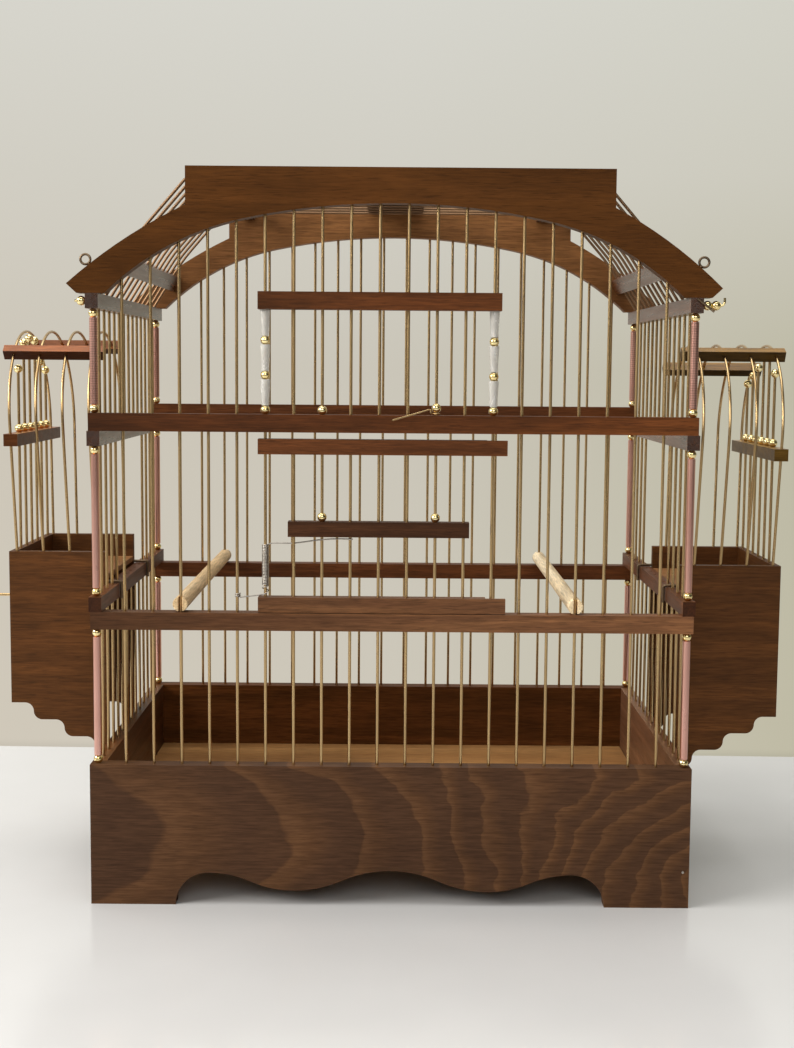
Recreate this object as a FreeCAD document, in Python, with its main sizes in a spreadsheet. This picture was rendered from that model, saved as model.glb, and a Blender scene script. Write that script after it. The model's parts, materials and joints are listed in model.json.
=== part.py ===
import FreeCAD, Part
import math
import os
import Sketcher
from types import SimpleNamespace
from FreeCAD import Placement, Rotation, Vector

# A wooden song-bird cage with brass wires, a spring-closed front door and two outside feeders.
# Millimetres, Z up, front towards -Y, origin on the floor below the middle of the base.

# Counts of the wire grid and of the repeated pieces
FRONT_COUNT = 21
SIDE_COUNT = 14
HINGE_WIRE = 6
JAMB_WIRE = 14
BEAD_WIRES = (8, 12)
LATCH_WIRE = 12
PIN_BEADS = {"left": range(1), "right": range(2)}
PERCH_WIRES = {"left": 3, "right": 17}
SIDE_OPENING = range(5, 10)
SPACER_COUNT = 3
SKIRT_STEPS = 3
HOOD_HOOPS = 4
END_TIPS = {"left": ("low", "near", "near", "near", "low", "edge"),
            "right": ("edge", "near", "near", "low", "low", "edge")}
SPRING_TURNS = 18

SIZES = {
    "spacing": 18.6,
    "wire_d": 2.0,
    "wire_fit": 0.1,
    "wire_seat": 8.0,
    "seat_gap": 0.3,
    "run_gap": 0.4,
    "base_height": 95.0,
    "end_board_t": 9.4,
    "front_board_t": 12.0,
    "foot_width": 56.5,
    "foot_arc": 22.0,
    "scallop_low_at": 65.0,
    "scallop_low": 10.0,
    "scallop_mid": 24.0,
    "end_foot_width": 44.0,
    "floor_height": 46.0,
    "floor_t": 5.0,
    "batten_size": 10.0,
    "rail_depth": 12.0,
    "rail_height": 11.6,
    "rail_overhang": 3.2,
    "side_rail_width": 8.4,
    "side_rail_height": 9.8,
    "side_rail_overhang": 6.0,
    "lower_rail_at": 186.0,
    "mid_rail_at": 316.6,
    "top_rail_at": 395.6,
    "arch_t": 12.0,
    "arch_rise": 81.1,
    "plate_half": 138.0,
    "plate_shift": 3.5,
    "shoulder_rise": 56.6,
    "eave_reach": 16.2,
    "eave_rise": 6.0,
    "eave_bulge": 3.2,
    "eave_flat": 9.7,
    "arch_foot_in": 8.3,
    "crown_rise": 58.4,
    "crown_radius": 470.0,
    "haunch_radius": 183.0,
    "arch_seat": 7.0,
    "roof_entry": 1.3,
    "roof_pitch": 58.0,
    "roof_upper_pitch": 49.0,
    "roof_knee_at": 45.0,
    "roof_knee_bend": 120.0,
    "roof_bend": 5.0,
    "roof_seat": 3.6,
    "roof_wire_drop": 4.9,
    "slope_bar_at": 25.0,
    "slope_bar_width": 12.0,
    "slope_bar_t": 9.0,
    "shoulder_at": 118.3,
    "shoulder_width": 10.0,
    "shoulder_height": 9.6,
    "centre_board_width": 44.0,
    "centre_board_t": 4.5,
    "bead_r": 3.1,
    "bead_half": 2.8,
    "tube_d": 5.2,
    "spacer_d": 5.0,
    "stiffener_at": 396.0,
    "stiffener_height": 11.4,
    "stiffener_overhang": 4.5,
    "door_bar_height": 10.0,
    "door_bar_t": 10.0,
    "door_top_at": 302.2,
    "door_middle_at": 248.2,
    "door_hinge_overhang": 4.6,
    "door_free_overhang": 9.4,
    "door_middle_overhang": 3.6,
    "door_rebate": 3.6,
    "hinge_fit": 0.1,
    "spring_wire_d": 0.9,
    "spring_r": 1.9,
    "spring_at": 216.0,
    "spring_pitch": 1.5,
    "spring_hook_drop": 5.0,
    "spring_arm": 54.0,
    "latch_wire_d": 1.2,
    "latch_eye_r": 1.9,
    "latch_reach": 28.9,
    "latch_out": 13.4,
    "latch_foot": 3.6,
    "latch_knee": 4.6,
    "latch_rise": 2.8,
    "latch_drop": 4.0,
    "latch_knee_bend": 1.0,
    "perch_d": 10.0,
    "perch_past_wire": 4.3,
    "notch_fit": 0.3,
    "eye_r": 3.2,
    "eye_wire_d": 1.6,
    "eye_from_tip": 14.5,
    "eye_stem": 6.0,
    "pin_d": 1.6,
    "pin_in_front": 3.2,
    "pin_seat": 5.0,
    "pin_above_rail": 4.9,
    "left_pin_length": 7.0,
    "right_pin_length": 13.9,
    "right_pin_bend": 2.6,
    "right_pin_tip": 5.0,
    "stay_reach": 6.5,
    "stay_drop": 4.0,
    "feeder_gap": 0.4,
    "left_feeder_width": 66.9,
    "right_feeder_width": 70.5,
    "feeder_depth": 120.0,
    "feeder_middle_at": -12.0,
    "left_rim_at": 229.6,
    "right_rim_at": 223.4,
    "panel_t": 6.0,
    "end_panel_t": 5.0,
    "end_panel_height": 107.0,
    "skirt_tread": 9.5,
    "skirt_arc": 6.0,
    "feeder_floor_drop": 16.6,
    "feeder_floor_t": 4.0,
    "hood_inset": 5.0,
    "hood_spacing": 18.3,
    "hood_seat": 6.0,
    "hood_radius": 63.0,
    "hood_above_rim": 90.5,
    "hood_back": 2.0,
    "hood_lean": 1.75,
    "hood_bar_width": 6.5,
    "hood_bar_t": 7.7,
    "hood_bar_inset": 3.0,
    "hood_bar_past": 6.0,
    "left_front_bar_angle": 41.0,
    "left_back_bar_angle": 33.5,
    "right_front_bar_angle": 27.0,
    "right_back_bar_angle": 43.4,
    "end_bar_above_rim": 73.5,
    "end_bar_height": 8.4,
    "end_bar_width": 9.6,
    "end_bar_past": 1.0,
    "end_bar_past_leg": 5.0,
    "end_wire_first": 21.5,
    "end_wire_pitch": 16.8,
    "tip_near": 5.0,
    "tip_edge": 7.5,
    "tip_low": 14.5,
    "hook_seat": 8.0,
    "hook_leg": 12.0,
    "hook_bend": 1.6,
    "peg_length": 26.5,
    "peg_below_rim": 39.3,
    "peg_seat": 4.0,
}

doc = FreeCAD.newDocument("bird_cage")
sheet = doc.addObject("Spreadsheet::Sheet", "dims")
for row, (alias, number) in enumerate(SIZES.items(), start=1):
    sheet.set(f"A{row}", str(number))
    sheet.setAlias(f"A{row}", alias)
doc.recompute()


class Size:
    """A length known both as an expression on the sheet and as a number."""

    def __init__(self, text, value):
        self.text = text
        self.value = value

    @staticmethod
    def of(thing):
        return thing if isinstance(thing, Size) else Size(f"{float(thing):.6f}", float(thing))

    def __float__(self):
        return self.value

    def __add__(self, other):
        other = Size.of(other)
        return Size(f"({self.text} + {other.text})", self.value + other.value)

    def __sub__(self, other):
        other = Size.of(other)
        return Size(f"({self.text} - {other.text})", self.value - other.value)

    def __mul__(self, other):
        other = Size.of(other)
        return Size(f"({self.text} * {other.text})", self.value * other.value)

    def __truediv__(self, other):
        other = Size.of(other)
        return Size(f"({self.text} / {other.text})", self.value / other.value)

    def __neg__(self):
        return self * -1

    __radd__ = __add__
    __rmul__ = __mul__


d = SimpleNamespace(**{alias: Size(f"dims.{alias}", float(sheet.get(alias))) for alias in SIZES})
nodes = []


# Helpers that make document objects

def bind(item, **sizes):
    for name, size in sizes.items():
        item.setExpression(name, Size.of(size).text)
    return item


def put(item, x, y, z, rotation=None):
    places = [Size.of(value) for value in (x, y, z)]
    item.Placement = Placement(Vector(*map(float, places)), rotation or Rotation())
    for axis, size in zip("xyz", places):
        item.setExpression(f"Placement.Base.{axis}", size.text)
    return item


def block(name, x, y, z):
    """A box between pairs of low and high faces."""
    item = doc.addObject("Part::Box", name)
    spans = [Size.of(high) - low for low, high in (x, y, z)]
    bind(item, Length=spans[0], Width=spans[1], Height=spans[2])
    return put(item, x[0], y[0], z[0])


def rod(name, x, y, low, high, diameter):
    item = doc.addObject("Part::Cylinder", name)
    bind(item, Radius=Size.of(diameter) / 2, Height=Size.of(high) - low)
    return put(item, x, y, low)


ALONG_X = Rotation(Vector(0, 1, 0), 90)
ALONG_Y = Rotation(Vector(1, 0, 0), -90)


def rod_along(name, turn, x, y, z, length, diameter):
    item = doc.addObject("Part::Cylinder", name)
    bind(item, Radius=Size.of(diameter) / 2, Height=length)
    return put(item, x, y, z, turn)


def rod_between(name, start, end, diameter):
    item = doc.addObject("Part::Cylinder", name)
    bind(item, Radius=Size.of(diameter) / 2)
    item.Height = (end - start).Length
    item.Placement = Placement(start, Rotation(Vector(0, 0, 1), end - start))
    return item


def bead(name, x, y, middle):
    item = doc.addObject("Part::Sphere", name)
    bind(item, Radius=d.bead_r)
    item.setExpression("Angle1", "-asin(dims.bead_half / dims.bead_r)")
    item.setExpression("Angle2", "asin(dims.bead_half / dims.bead_r)")
    return put(item, x, y, middle)


def compound(name, items):
    item = doc.addObject("Part::Compound", name)
    item.Links = list(items)
    return item


def cut(name, base, tools):
    item = doc.addObject("Part::Cut", name)
    item.Base = base
    item.Tool = tools if not isinstance(tools, list) else compound(f"{name}_tools", tools)
    return item


def solid(name, shape):
    item = doc.addObject("Part::Feature", name)
    item.Shape = shape
    return item


def node(item, label):
    item.Label = label
    nodes.append(item)
    return item


# Outlines of flat boards, drawn as lines and arcs in a sketch

def line(start, end):
    return Part.LineSegment(start, end)


def arc(start, middle, end):
    return Part.Arc(start, middle, end)


def bulged(start, end, rise):
    """An arc that stands the given height off its chord, on the chord's left."""
    chord = end - start
    left = Vector(-chord.y, chord.x, 0).normalize()
    return arc(start, (start + end) / 2 + left * rise, end)


def wave(start, end):
    """Two equal arcs, level at both ends, that meet halfway."""
    half = (end - start) / 2
    radius = (half.x ** 2 + half.y ** 2) / (2 * abs(half.y))
    turn = math.asin(abs(half.x) / radius) / 2
    step = Vector(math.copysign(radius * math.sin(turn), half.x),
                  math.copysign(radius * (1 - math.cos(turn)), half.y), 0)
    inflection = start + half
    return [arc(start, start + step, inflection), arc(inflection, end - step, end)]


def quarter(start, end, centre):
    corner = (start + end) / 2 - centre
    return arc(start, centre + corner.normalize() * (start - centre).Length, end)


def mirrored(edges):
    """The same chain of edges on the other side of the middle, in running order."""
    flip = Placement(Vector(), Rotation(Vector(0, 1, 0), 180)).toMatrix()
    result = []
    for edge in reversed(edges):
        ends = [flip * edge.EndPoint, flip * edge.StartPoint]
        if isinstance(edge, Part.LineSegment):
            result.append(line(*ends))
        else:
            inner = flip * edge.value((edge.FirstParameter + edge.LastParameter) / 2)
            result.append(arc(ends[0], inner, ends[1]))
    return result


def board(name, plane, edges, thickness, x, y, z):
    body = doc.addObject("PartDesign::Body", name)
    sketch = body.newObject("Sketcher::SketchObject", f"{name}_outline")
    face = [part for part in body.Origin.OriginFeatures if part.Role == plane][0]
    sketch.AttachmentSupport = (face, [""])
    sketch.MapMode = "FlatFace"
    for index in sketch.addGeometry(edges, False):
        sketch.addConstraint(Sketcher.Constraint("Block", index))
    pad = body.newObject("PartDesign::Pad", f"{name}_pad")
    pad.Profile = sketch
    pad.SideType = "Symmetric"
    bind(pad, Length=thickness)
    put(body, x, y, z)
    return body


# Bent wires, swept along lines and tangent arcs

def pipe(edges, diameter):
    path = Part.Wire(edges)
    start = path.OrderedEdges[0]
    section = Part.Circle(start.valueAt(start.FirstParameter), start.tangentAt(start.FirstParameter),
                          float(diameter) / 2)
    return path.makePipeShell([Part.Wire(section.toShape())], True, False)


def arc_middle(start, tangent, end):
    """The halfway point of the arc that leaves start along tangent and reaches end."""
    chord = end - start
    along = Vector(chord).normalize()
    side = tangent - along * tangent.dot(along)
    half_turn = math.atan2(side.Length, tangent.dot(along))
    return (start + end) / 2 + side.normalize() * (chord.Length / 2 * math.tan(half_turn / 2))


def biarc(start, tangent, end, end_tangent):
    """Two arcs that join two points smoothly along their tangents."""
    chord = end - start
    both = tangent + end_tangent
    spread = 2 * (1 - tangent.dot(end_tangent))
    reach = (math.sqrt(chord.dot(both) ** 2 + spread * chord.dot(chord)) - chord.dot(both)) / spread
    joint = (start + end + (tangent - end_tangent) * reach) / 2
    first = Part.Arc(start, arc_middle(start, tangent, joint), joint)
    second = Part.Arc(joint, arc_middle(end, end_tangent * -1, joint), end)
    return [first.toShape(), second.toShape()]


def bent(points, *radii):
    """Lines through the points, with a tangent arc at each corner, one radius for each."""
    edges = []
    last = points[0]
    for before, corner, after, radius in zip(points, points[1:], points[2:], radii):
        back = (before - corner).normalize()
        ahead = (after - corner).normalize()
        turn = math.pi - back.getAngle(ahead)
        reach = float(radius) * math.tan(turn / 2)
        enter = corner + back * reach
        leave = corner + ahead * reach
        edges.append(Part.LineSegment(last, enter).toShape())
        edges.append(Part.Arc(enter, arc_middle(enter, back * -1, leave), leave).toShape())
        last = leave
    edges.append(Part.LineSegment(last, points[-1]).toShape())
    return edges


# Places that several pieces share

half_x = d.spacing * (FRONT_COUNT / 2)
half_y = d.spacing * (SIDE_COUNT / 2)
front_y = -half_y
base_half_x = half_x + d.end_board_t / 2
rail_half_x = half_x + d.rail_overhang
rail_half_y = half_y + d.side_rail_overhang
lower_top = d.lower_rail_at + d.rail_height
mid_top = d.mid_rail_at + d.rail_height
side_lower_top = lower_top + d.side_rail_height
side_mid_at = d.mid_rail_at - d.side_rail_height
arch_at = d.top_rail_at + d.side_rail_height
wire_hole = d.wire_d + d.wire_fit * 2
between_arches = half_y - d.arch_t / 2
between_fronts = half_y - d.front_board_t / 2


def front_x(number):
    return d.spacing * number - half_x


def side_y(number):
    return d.spacing * number - half_y


def about(middle, width):
    return middle - width / 2, middle + width / 2


# The arch's underside: a flat crown arc that runs into a tighter haunch arc on each side

class ArchCurve:
    def __init__(self):
        self.foot = Vector(float(half_x - d.arch_foot_in), float(arch_at), 0)
        self.crown = float(arch_at + d.crown_rise)
        self.centre = Vector(0, self.crown - float(d.crown_radius), 0)
        to_foot = self.foot - self.centre
        reach = float(d.crown_radius - d.haunch_radius)
        squares = reach ** 2 + to_foot.Length ** 2 - float(d.haunch_radius) ** 2
        cosine = squares / (2 * reach * to_foot.Length)
        sine = math.sqrt(1 - cosine ** 2)
        toward = (to_foot * cosine + Vector(-to_foot.y, to_foot.x, 0) * sine) / to_foot.Length
        self.haunch = self.centre + toward * reach
        self.joint = self.centre + toward * float(d.crown_radius)

    def height(self, x):
        across = abs(x)
        if across < self.joint.x:
            return self.centre.y + math.sqrt(float(d.crown_radius) ** 2 - across ** 2)
        return self.haunch.y + math.sqrt(float(d.haunch_radius) ** 2 - (across - self.haunch.x) ** 2)

    def haunch_arc(self):
        """From the foot up to the joint with the crown."""
        middle_x = (self.foot.x + self.joint.x) / 2
        return arc(self.foot, Vector(middle_x, self.height(middle_x), 0), self.joint)


arch_curve = ArchCurve()


# Straight wires, each with the drill that makes its holes

class WireSet:
    def __init__(self, name):
        self.name = name
        self.wires = []
        self.drills = []

    def add(self, x, y, low, high):
        index = len(self.wires)
        self.wires.append(rod(f"{self.name}_wire_{index}", x, y, low, high, d.wire_d))
        self.drill(x, y, low, high)

    def drill(self, x, y, low, high):
        index = len(self.drills)
        self.drills.append(rod(f"{self.name}_drill_{index}", x, y, Size.of(low) - d.seat_gap,
                               Size.of(high) + d.seat_gap, wire_hole))

    def finish(self, label):
        return node(compound(f"{self.name}_wires", self.wires), label)


wire_foot = d.base_height - d.wire_seat
flush = d.seat_gap

corners = WireSet("corner")
for x in (-half_x, half_x):
    for y in (-half_y, half_y):
        corners.add(x, y, wire_foot, arch_at + d.arch_seat)


def wall_top(number):
    return arch_curve.height(float(front_x(number))) + float(d.arch_seat)


front = WireSet("front")
back = WireSet("back")
for number in range(1, FRONT_COUNT):
    back.add(front_x(number), half_y, wire_foot, wall_top(number))
    if HINGE_WIRE < number < JAMB_WIRE:
        front.add(front_x(number), front_y, wire_foot, lower_top - flush)
        front.add(front_x(number), front_y, d.mid_rail_at + flush, wall_top(number))
    else:
        front.add(front_x(number), front_y, wire_foot, wall_top(number))

sides = {}
for name, x in (("left", -half_x), ("right", half_x)):
    sides[name] = WireSet(name)
    for number in range(1, SIDE_COUNT):
        high = d.top_rail_at + d.side_rail_height - d.roof_seat - d.wire_d
        if number in SIDE_OPENING:
            sides[name].add(x, side_y(number), wire_foot, side_lower_top - flush)
            sides[name].add(x, side_y(number), side_mid_at + flush, high)
        else:
            sides[name].add(x, side_y(number), wire_foot, high)

corner_drills = compound("corner_drills", corners.drills)
front_drills = compound("front_drills", front.drills + corners.drills)
back_drills = compound("back_drills", back.drills + corners.drills)
side_drills = {name: compound(f"{name}_drills", sides[name].drills + corners.drills) for name in sides}


# Base: scalloped front and back boards, end boards, floor panel and its battens

def scallop():
    width = float(base_half_x)
    height = float(d.base_height)
    crest_x = width - float(d.foot_width + d.foot_arc)
    foot = Vector(crest_x + float(d.foot_arc), 0, 0)
    crest = Vector(crest_x, float(d.foot_arc), 0)
    low = Vector(float(d.scallop_low_at), float(d.scallop_low), 0)
    middle = Vector(0, float(d.scallop_mid), 0)
    right = [line(Vector(width, height, 0), Vector(width, 0, 0)), line(Vector(width, 0, 0), foot),
             quarter(foot, crest, Vector(crest_x, 0, 0))]
    right += wave(crest, low) + wave(low, middle)
    return right + mirrored(right) + [line(Vector(-width, height, 0), Vector(width, height, 0))]


def end_board_outline():
    width = float(between_fronts)
    height = float(d.base_height)
    crest_y = width - float(d.end_foot_width + d.foot_arc)
    foot = Vector(crest_y + float(d.foot_arc), 0, 0)
    crest = Vector(crest_y, float(d.foot_arc), 0)
    right = [line(Vector(width, height, 0), Vector(width, 0, 0)), line(Vector(width, 0, 0), foot),
             quarter(foot, crest, Vector(crest_y, 0, 0))]
    ends = [line(crest, Vector(-crest.x, crest.y, 0))]
    return right + ends + mirrored(right) + [line(Vector(-width, height, 0), Vector(width, height, 0))]


for name, y, drills in (("front", front_y, front_drills), ("back", half_y, back_drills)):
    blank = board(f"base_{name}_blank", "XZ_Plane", scallop(), d.front_board_t, 0, y, 0)
    node(cut(f"base_{name}", blank, drills), f"base_{name}_board")

for name, x in (("left", -half_x), ("right", half_x)):
    blank = board(f"base_{name}_blank", "YZ_Plane", end_board_outline(), d.end_board_t, x, 0, 0)
    node(cut(f"base_{name}", blank, side_drills[name]), f"base_{name}_board")

floor_half_x = half_x - d.end_board_t / 2 - d.seat_gap
floor_half_y = between_fronts - d.seat_gap
floor_under = d.floor_height - d.floor_t
node(block("floor", (-floor_half_x, floor_half_x), (-floor_half_y, floor_half_y),
           (floor_under, d.floor_height)), "floor_panel")
batten_x = half_x - d.end_board_t / 2
battens = [block("left_batten", (-batten_x, d.batten_size - batten_x), (-floor_half_y, floor_half_y),
                 (floor_under - d.batten_size, floor_under)),
           block("right_batten", (batten_x - d.batten_size, batten_x), (-floor_half_y, floor_half_y),
                 (floor_under - d.batten_size, floor_under))]
node(compound("battens", battens), "floor_battens")

# Rails: front and back sticks cross the side sticks at each corner wire

for name, y, drills in (("front", front_y, front_drills), ("back", half_y, back_drills)):
    for level, low in (("lower", d.lower_rail_at), ("mid", d.mid_rail_at)):
        stick = block(f"{name}_{level}_stick", (-rail_half_x, rail_half_x), about(y, d.rail_depth),
                      (low, low + d.rail_height))
        node(cut(f"{name}_{level}", stick, drills), f"{name}_{level}_rail")

# Roof wires: up each slope, over a bend and level into the shoulder rails, then across the top

roof_level = arch_at + d.arch_rise - d.roof_wire_drop
roof_slope = math.radians(float(d.roof_pitch))
shoulder_x = d.shoulder_at
shoulder_outer = shoulder_x + d.shoulder_width / 2


def roof_path(side, y):
    entry_x = float(half_x - d.roof_entry)
    entry_z = float(arch_at)
    seat = float(d.roof_seat) / math.sin(roof_slope)
    knee_x = entry_x - float(d.roof_knee_at) * math.cos(roof_slope)
    knee_z = entry_z + float(d.roof_knee_at) * math.sin(roof_slope)
    corner_x = knee_x - (float(roof_level) - knee_z) / math.tan(math.radians(float(d.roof_upper_pitch)))
    points = [Vector(side * (entry_x + seat * math.cos(roof_slope)), y, entry_z - float(d.roof_seat)),
              Vector(side * knee_x, y, knee_z),
              Vector(side * corner_x, y, float(roof_level)),
              Vector(side * float(shoulder_x + d.seat_gap), y, float(roof_level))]
    return bent(points, d.roof_knee_bend, d.roof_bend)


roof_wires = []
roof_drills = {"left": [], "right": []}
for number in range(1, SIDE_COUNT):
    y = float(side_y(number))
    for name, side in (("left", -1), ("right", 1)):
        roof_wires.append(solid(f"{name}_roof_wire_{number}", pipe(roof_path(side, y), d.wire_d)))
        roof_drills[name].append(solid(f"{name}_roof_drill_{number}", pipe(roof_path(side, y), wire_hole)))
    roof_wires.append(rod_along(f"top_wire_{number}", ALONG_X, d.seat_gap - shoulder_x, side_y(number),
                                roof_level, (shoulder_x - d.seat_gap) * 2, d.wire_d))
top_drills = [rod_along(f"top_drill_{number}", ALONG_X, -shoulder_outer, side_y(number), roof_level,
                        shoulder_outer * 2, wire_hole) for number in range(1, SIDE_COUNT)]

pin_y = front_y - d.pin_in_front
pin_z = d.top_rail_at + d.pin_above_rail
rail_outer_x = half_x + d.side_rail_width / 2
pin_hole = d.pin_d + d.wire_fit * 2
pin_drills = {
    "left": rod_along("left_pin_drill", ALONG_X, -rail_outer_x - d.seat_gap, pin_y, pin_z,
                      d.pin_seat + d.seat_gap * 2, pin_hole),
    "right": rod_along("right_pin_drill", ALONG_X, rail_outer_x - d.pin_seat - d.seat_gap, pin_y, pin_z,
                       d.pin_seat + d.seat_gap * 2, pin_hole)}

for name, x in (("left", -half_x), ("right", half_x)):
    for level, low in (("lower", lower_top), ("mid", side_mid_at), ("top", d.top_rail_at)):
        stick = block(f"{name}_{level}_stick", about(x, d.side_rail_width), (-rail_half_y, rail_half_y),
                      (low, low + d.side_rail_height))
        tools = [side_drills[name]]
        if level == "top":
            tools += roof_drills[name] + [pin_drills[name]]
        node(cut(f"{name}_{level}", stick, tools), f"{name}_{level}_rail")


def tilted_bar(name, x, y, middle, turn, sizes):
    """A bar with its long side along the turned axes, centred on the given point."""
    item = doc.addObject("Part::Box", name)
    bind(item, Length=sizes[0], Width=sizes[1], Height=sizes[2])
    half = turn.multVec(Vector(*map(float, sizes)) / 2)
    item.Placement = Placement(Vector(float(x), float(y), float(middle)) - half, turn)
    return item


slope_bars = []
for name, side in (("left", -1), ("right", 1)):
    x = side * float(half_x - d.roof_entry - d.slope_bar_at * (math.cos(roof_slope)))
    z = arch_at + d.slope_bar_at * math.sin(roof_slope)
    lean = Rotation(Vector(0, 1, 0), -side * (90 - float(d.roof_pitch)))
    bar = tilted_bar(f"{name}_slope_stick", x, 0, z, lean,
                     (d.slope_bar_t, between_arches * 2, d.slope_bar_width))
    slope_bars.append(cut(f"{name}_slope", bar, roof_drills[name]))
node(compound("slope_pair", slope_bars), "slope_bars")

roof_top = arch_at + d.arch_rise
shoulders = []
for name, side in (("left", -1), ("right", 1)):
    stick = block(f"{name}_shoulder_stick", about(shoulder_x * side, d.shoulder_width),
                  (-between_arches, between_arches), (roof_top - d.shoulder_height, roof_top))
    shoulders.append(cut(f"{name}_shoulder", stick, top_drills))
node(compound("shoulder_pair", shoulders), "shoulder_rails")

centre_under = roof_level + d.wire_d / 2 + d.seat_gap
node(block("centre_board", about(Size.of(0), d.centre_board_width), (-between_arches, between_arches),
           (centre_under, centre_under + d.centre_board_t)), "centre_top_board")
node(compound("roof_wire_set", roof_wires), "roof_wires")


# Arch boards: a flat-topped plate with sloping eaves over a low arch

eave_tip = Vector(float(half_x + d.eave_reach), float(arch_at + d.eave_rise), 0)


def eave_shoulder(side):
    """Where the plate meets one eave, measured outward. The plate stands a little to the right."""
    return Vector(float(d.plate_half + d.plate_shift * side), float(arch_at + d.shoulder_rise), 0)


def eave_arc(side):
    return bulged(eave_shoulder(side), eave_tip, float(d.eave_bulge))


def half_outline(side):
    """One half of the board, from the plate's corner round to the crown of the arch, measured outward."""
    shoulder = eave_shoulder(side)
    flat_end = Vector(float(half_x + d.eave_flat), float(arch_at), 0)
    return [line(Vector(shoulder.x, float(roof_top), 0), shoulder), eave_arc(side), line(eave_tip, flat_end),
            line(flat_end, arch_curve.foot), arch_curve.haunch_arc()]


def arch_outline():
    top = float(roof_top)
    far_joint = Vector(-arch_curve.joint.x, arch_curve.joint.y, 0)
    crown = [arc(arch_curve.joint, Vector(0, arch_curve.crown, 0), far_joint)]
    top_edge = line(Vector(-eave_shoulder(-1).x, top, 0), Vector(eave_shoulder(1).x, top, 0))
    return half_outline(1) + crown + mirrored(half_outline(-1)) + [top_edge]


# Screw eyes on the front arch's eaves, standing square to the slope
eye_x = eave_tip.x - float(d.eye_from_tip)
eyes = []
eye_drills = []
for name, side in (("left", -1), ("right", 1)):
    eave_circle = eave_arc(side).toShape().Curve
    eye_rise = math.sqrt(eave_circle.Radius ** 2 - (eye_x - eave_circle.Center.x) ** 2)
    eye_slope = math.asin((eye_x - eave_circle.Center.x) / eave_circle.Radius)
    out = Vector(side * math.sin(eye_slope), 0, math.cos(eye_slope))
    seat = Vector(side * eye_x, float(front_y), eave_circle.Center.y + eye_rise)
    ring = doc.addObject("Part::Torus", f"{name}_eye_ring")
    bind(ring, Radius1=d.eye_r, Radius2=d.eye_wire_d / 2)
    ring.Placement = Placement(seat + out * float(d.eye_r + d.eye_wire_d), Rotation(Vector(1, 0, 0), 90))
    foot = seat - out * float(d.eye_stem)
    stem = rod_between(f"{name}_eye_stem", foot, seat + out * float(d.eye_wire_d), d.eye_wire_d)
    eye = doc.addObject("Part::Fuse", f"{name}_eye")
    eye.Base = ring
    eye.Tool = stem
    eyes.append(eye)
    eye_drills.append(rod_between(f"{name}_eye_drill", foot - out * float(d.seat_gap),
                                  seat + out * float(d.eye_r), d.eye_wire_d + d.wire_fit * 2))

for name, y, tools in (("front", front_y, [front_drills] + eye_drills), ("back", half_y, [back_drills])):
    blank = board(f"{name}_arch_blank", "XZ_Plane", arch_outline(), d.arch_t, 0, y, 0)
    node(cut(f"{name}_arch", blank, tools), f"{name}_arch_board")

# Beaded pins on the ends of the top rails, and a stay from the right eave to its pin
left_pin = rod_along("left_pin", ALONG_X, -rail_outer_x - d.left_pin_length, pin_y, pin_z,
                     d.left_pin_length + d.pin_seat, d.pin_d)
pin_end = float(rail_outer_x + d.right_pin_length)
right_points = [Vector(float(rail_outer_x - d.pin_seat), float(pin_y), float(pin_z)),
                Vector(pin_end, float(pin_y), float(pin_z)),
                Vector(pin_end, float(pin_y), float(pin_z + d.right_pin_tip))]
right_pin = solid("right_pin", pipe(bent(right_points, d.right_pin_bend), d.pin_d))
pin_beads = []
for name, side in (("left", -1), ("right", 1)):
    for index in PIN_BEADS[name]:
        x = (rail_outer_x + d.bead_half * (1 + index * 2)) * side
        ball = bead(f"{name}_pin_ball_{index}", x, pin_y, pin_z)
        ball.Placement = Placement(ball.Placement.Base, ALONG_X)
        drill = rod_along(f"{name}_pin_bore_{index}", ALONG_X, x - d.bead_r, pin_y, pin_z,
                          d.bead_r * 2, pin_hole)
        pin_beads.append(cut(f"{name}_pin_bead_{index}", ball, drill))
node(compound("pin_set", [left_pin, right_pin] + pin_beads), "top_pins")

stay_y = float(-rail_half_y - d.eye_wire_d / 2 - d.run_gap)
stay_top = Vector(float(half_x), stay_y, float(arch_at - d.eye_wire_d / 2))
stay_foot = Vector(float(rail_outer_x + d.stay_reach), stay_y, float(pin_z - d.stay_drop))
eyes.append(rod_between("right_stay", stay_top, stay_foot, d.eye_wire_d))
node(compound("eye_set", eyes), "hanging_eyes")

front.finish("front_wires")
back.finish("back_wires")
sides["left"].finish("left_wires")
sides["right"].finish("right_wires")
corners.finish("corner_wires")

# Corner posts: tubes between the rails, with a bead at each tube end
post_levels = [(d.base_height, d.lower_rail_at), (side_lower_top, side_mid_at), (mid_top, d.top_rail_at)]
post_tubes = []
post_beads = []
for x in (-half_x, half_x):
    for y in (-half_y, half_y):
        for low, high in post_levels:
            post_tubes.append(rod(f"post_tube_{len(post_tubes)}", x, y, low + d.bead_half * 2,
                                  high - d.bead_half * 2, d.tube_d))
            post_beads.append(bead(f"post_ball_{len(post_beads)}", x, y, low + d.bead_half))
            post_beads.append(bead(f"post_ball_{len(post_beads)}", x, y, high - d.bead_half))
node(cut("post_tubes", compound("post_tube_set", post_tubes), corner_drills), "corner_tubes")
node(cut("post_beads", compound("post_ball_set", post_beads), corner_drills), "corner_beads")

# Stiffener bar on stacks of spacers and beads at the hinge wire and the jamb wire
hinge_x = front_x(HINGE_WIRE)
jamb_x = front_x(JAMB_WIRE)
stiffener = block("stiffener_stick", (hinge_x - d.stiffener_overhang, jamb_x + d.stiffener_overhang),
                  about(front_y, d.rail_depth), (d.stiffener_at, d.stiffener_at + d.stiffener_height))
node(cut("stiffener", stiffener, front_drills), "stiffener_bar")

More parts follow.
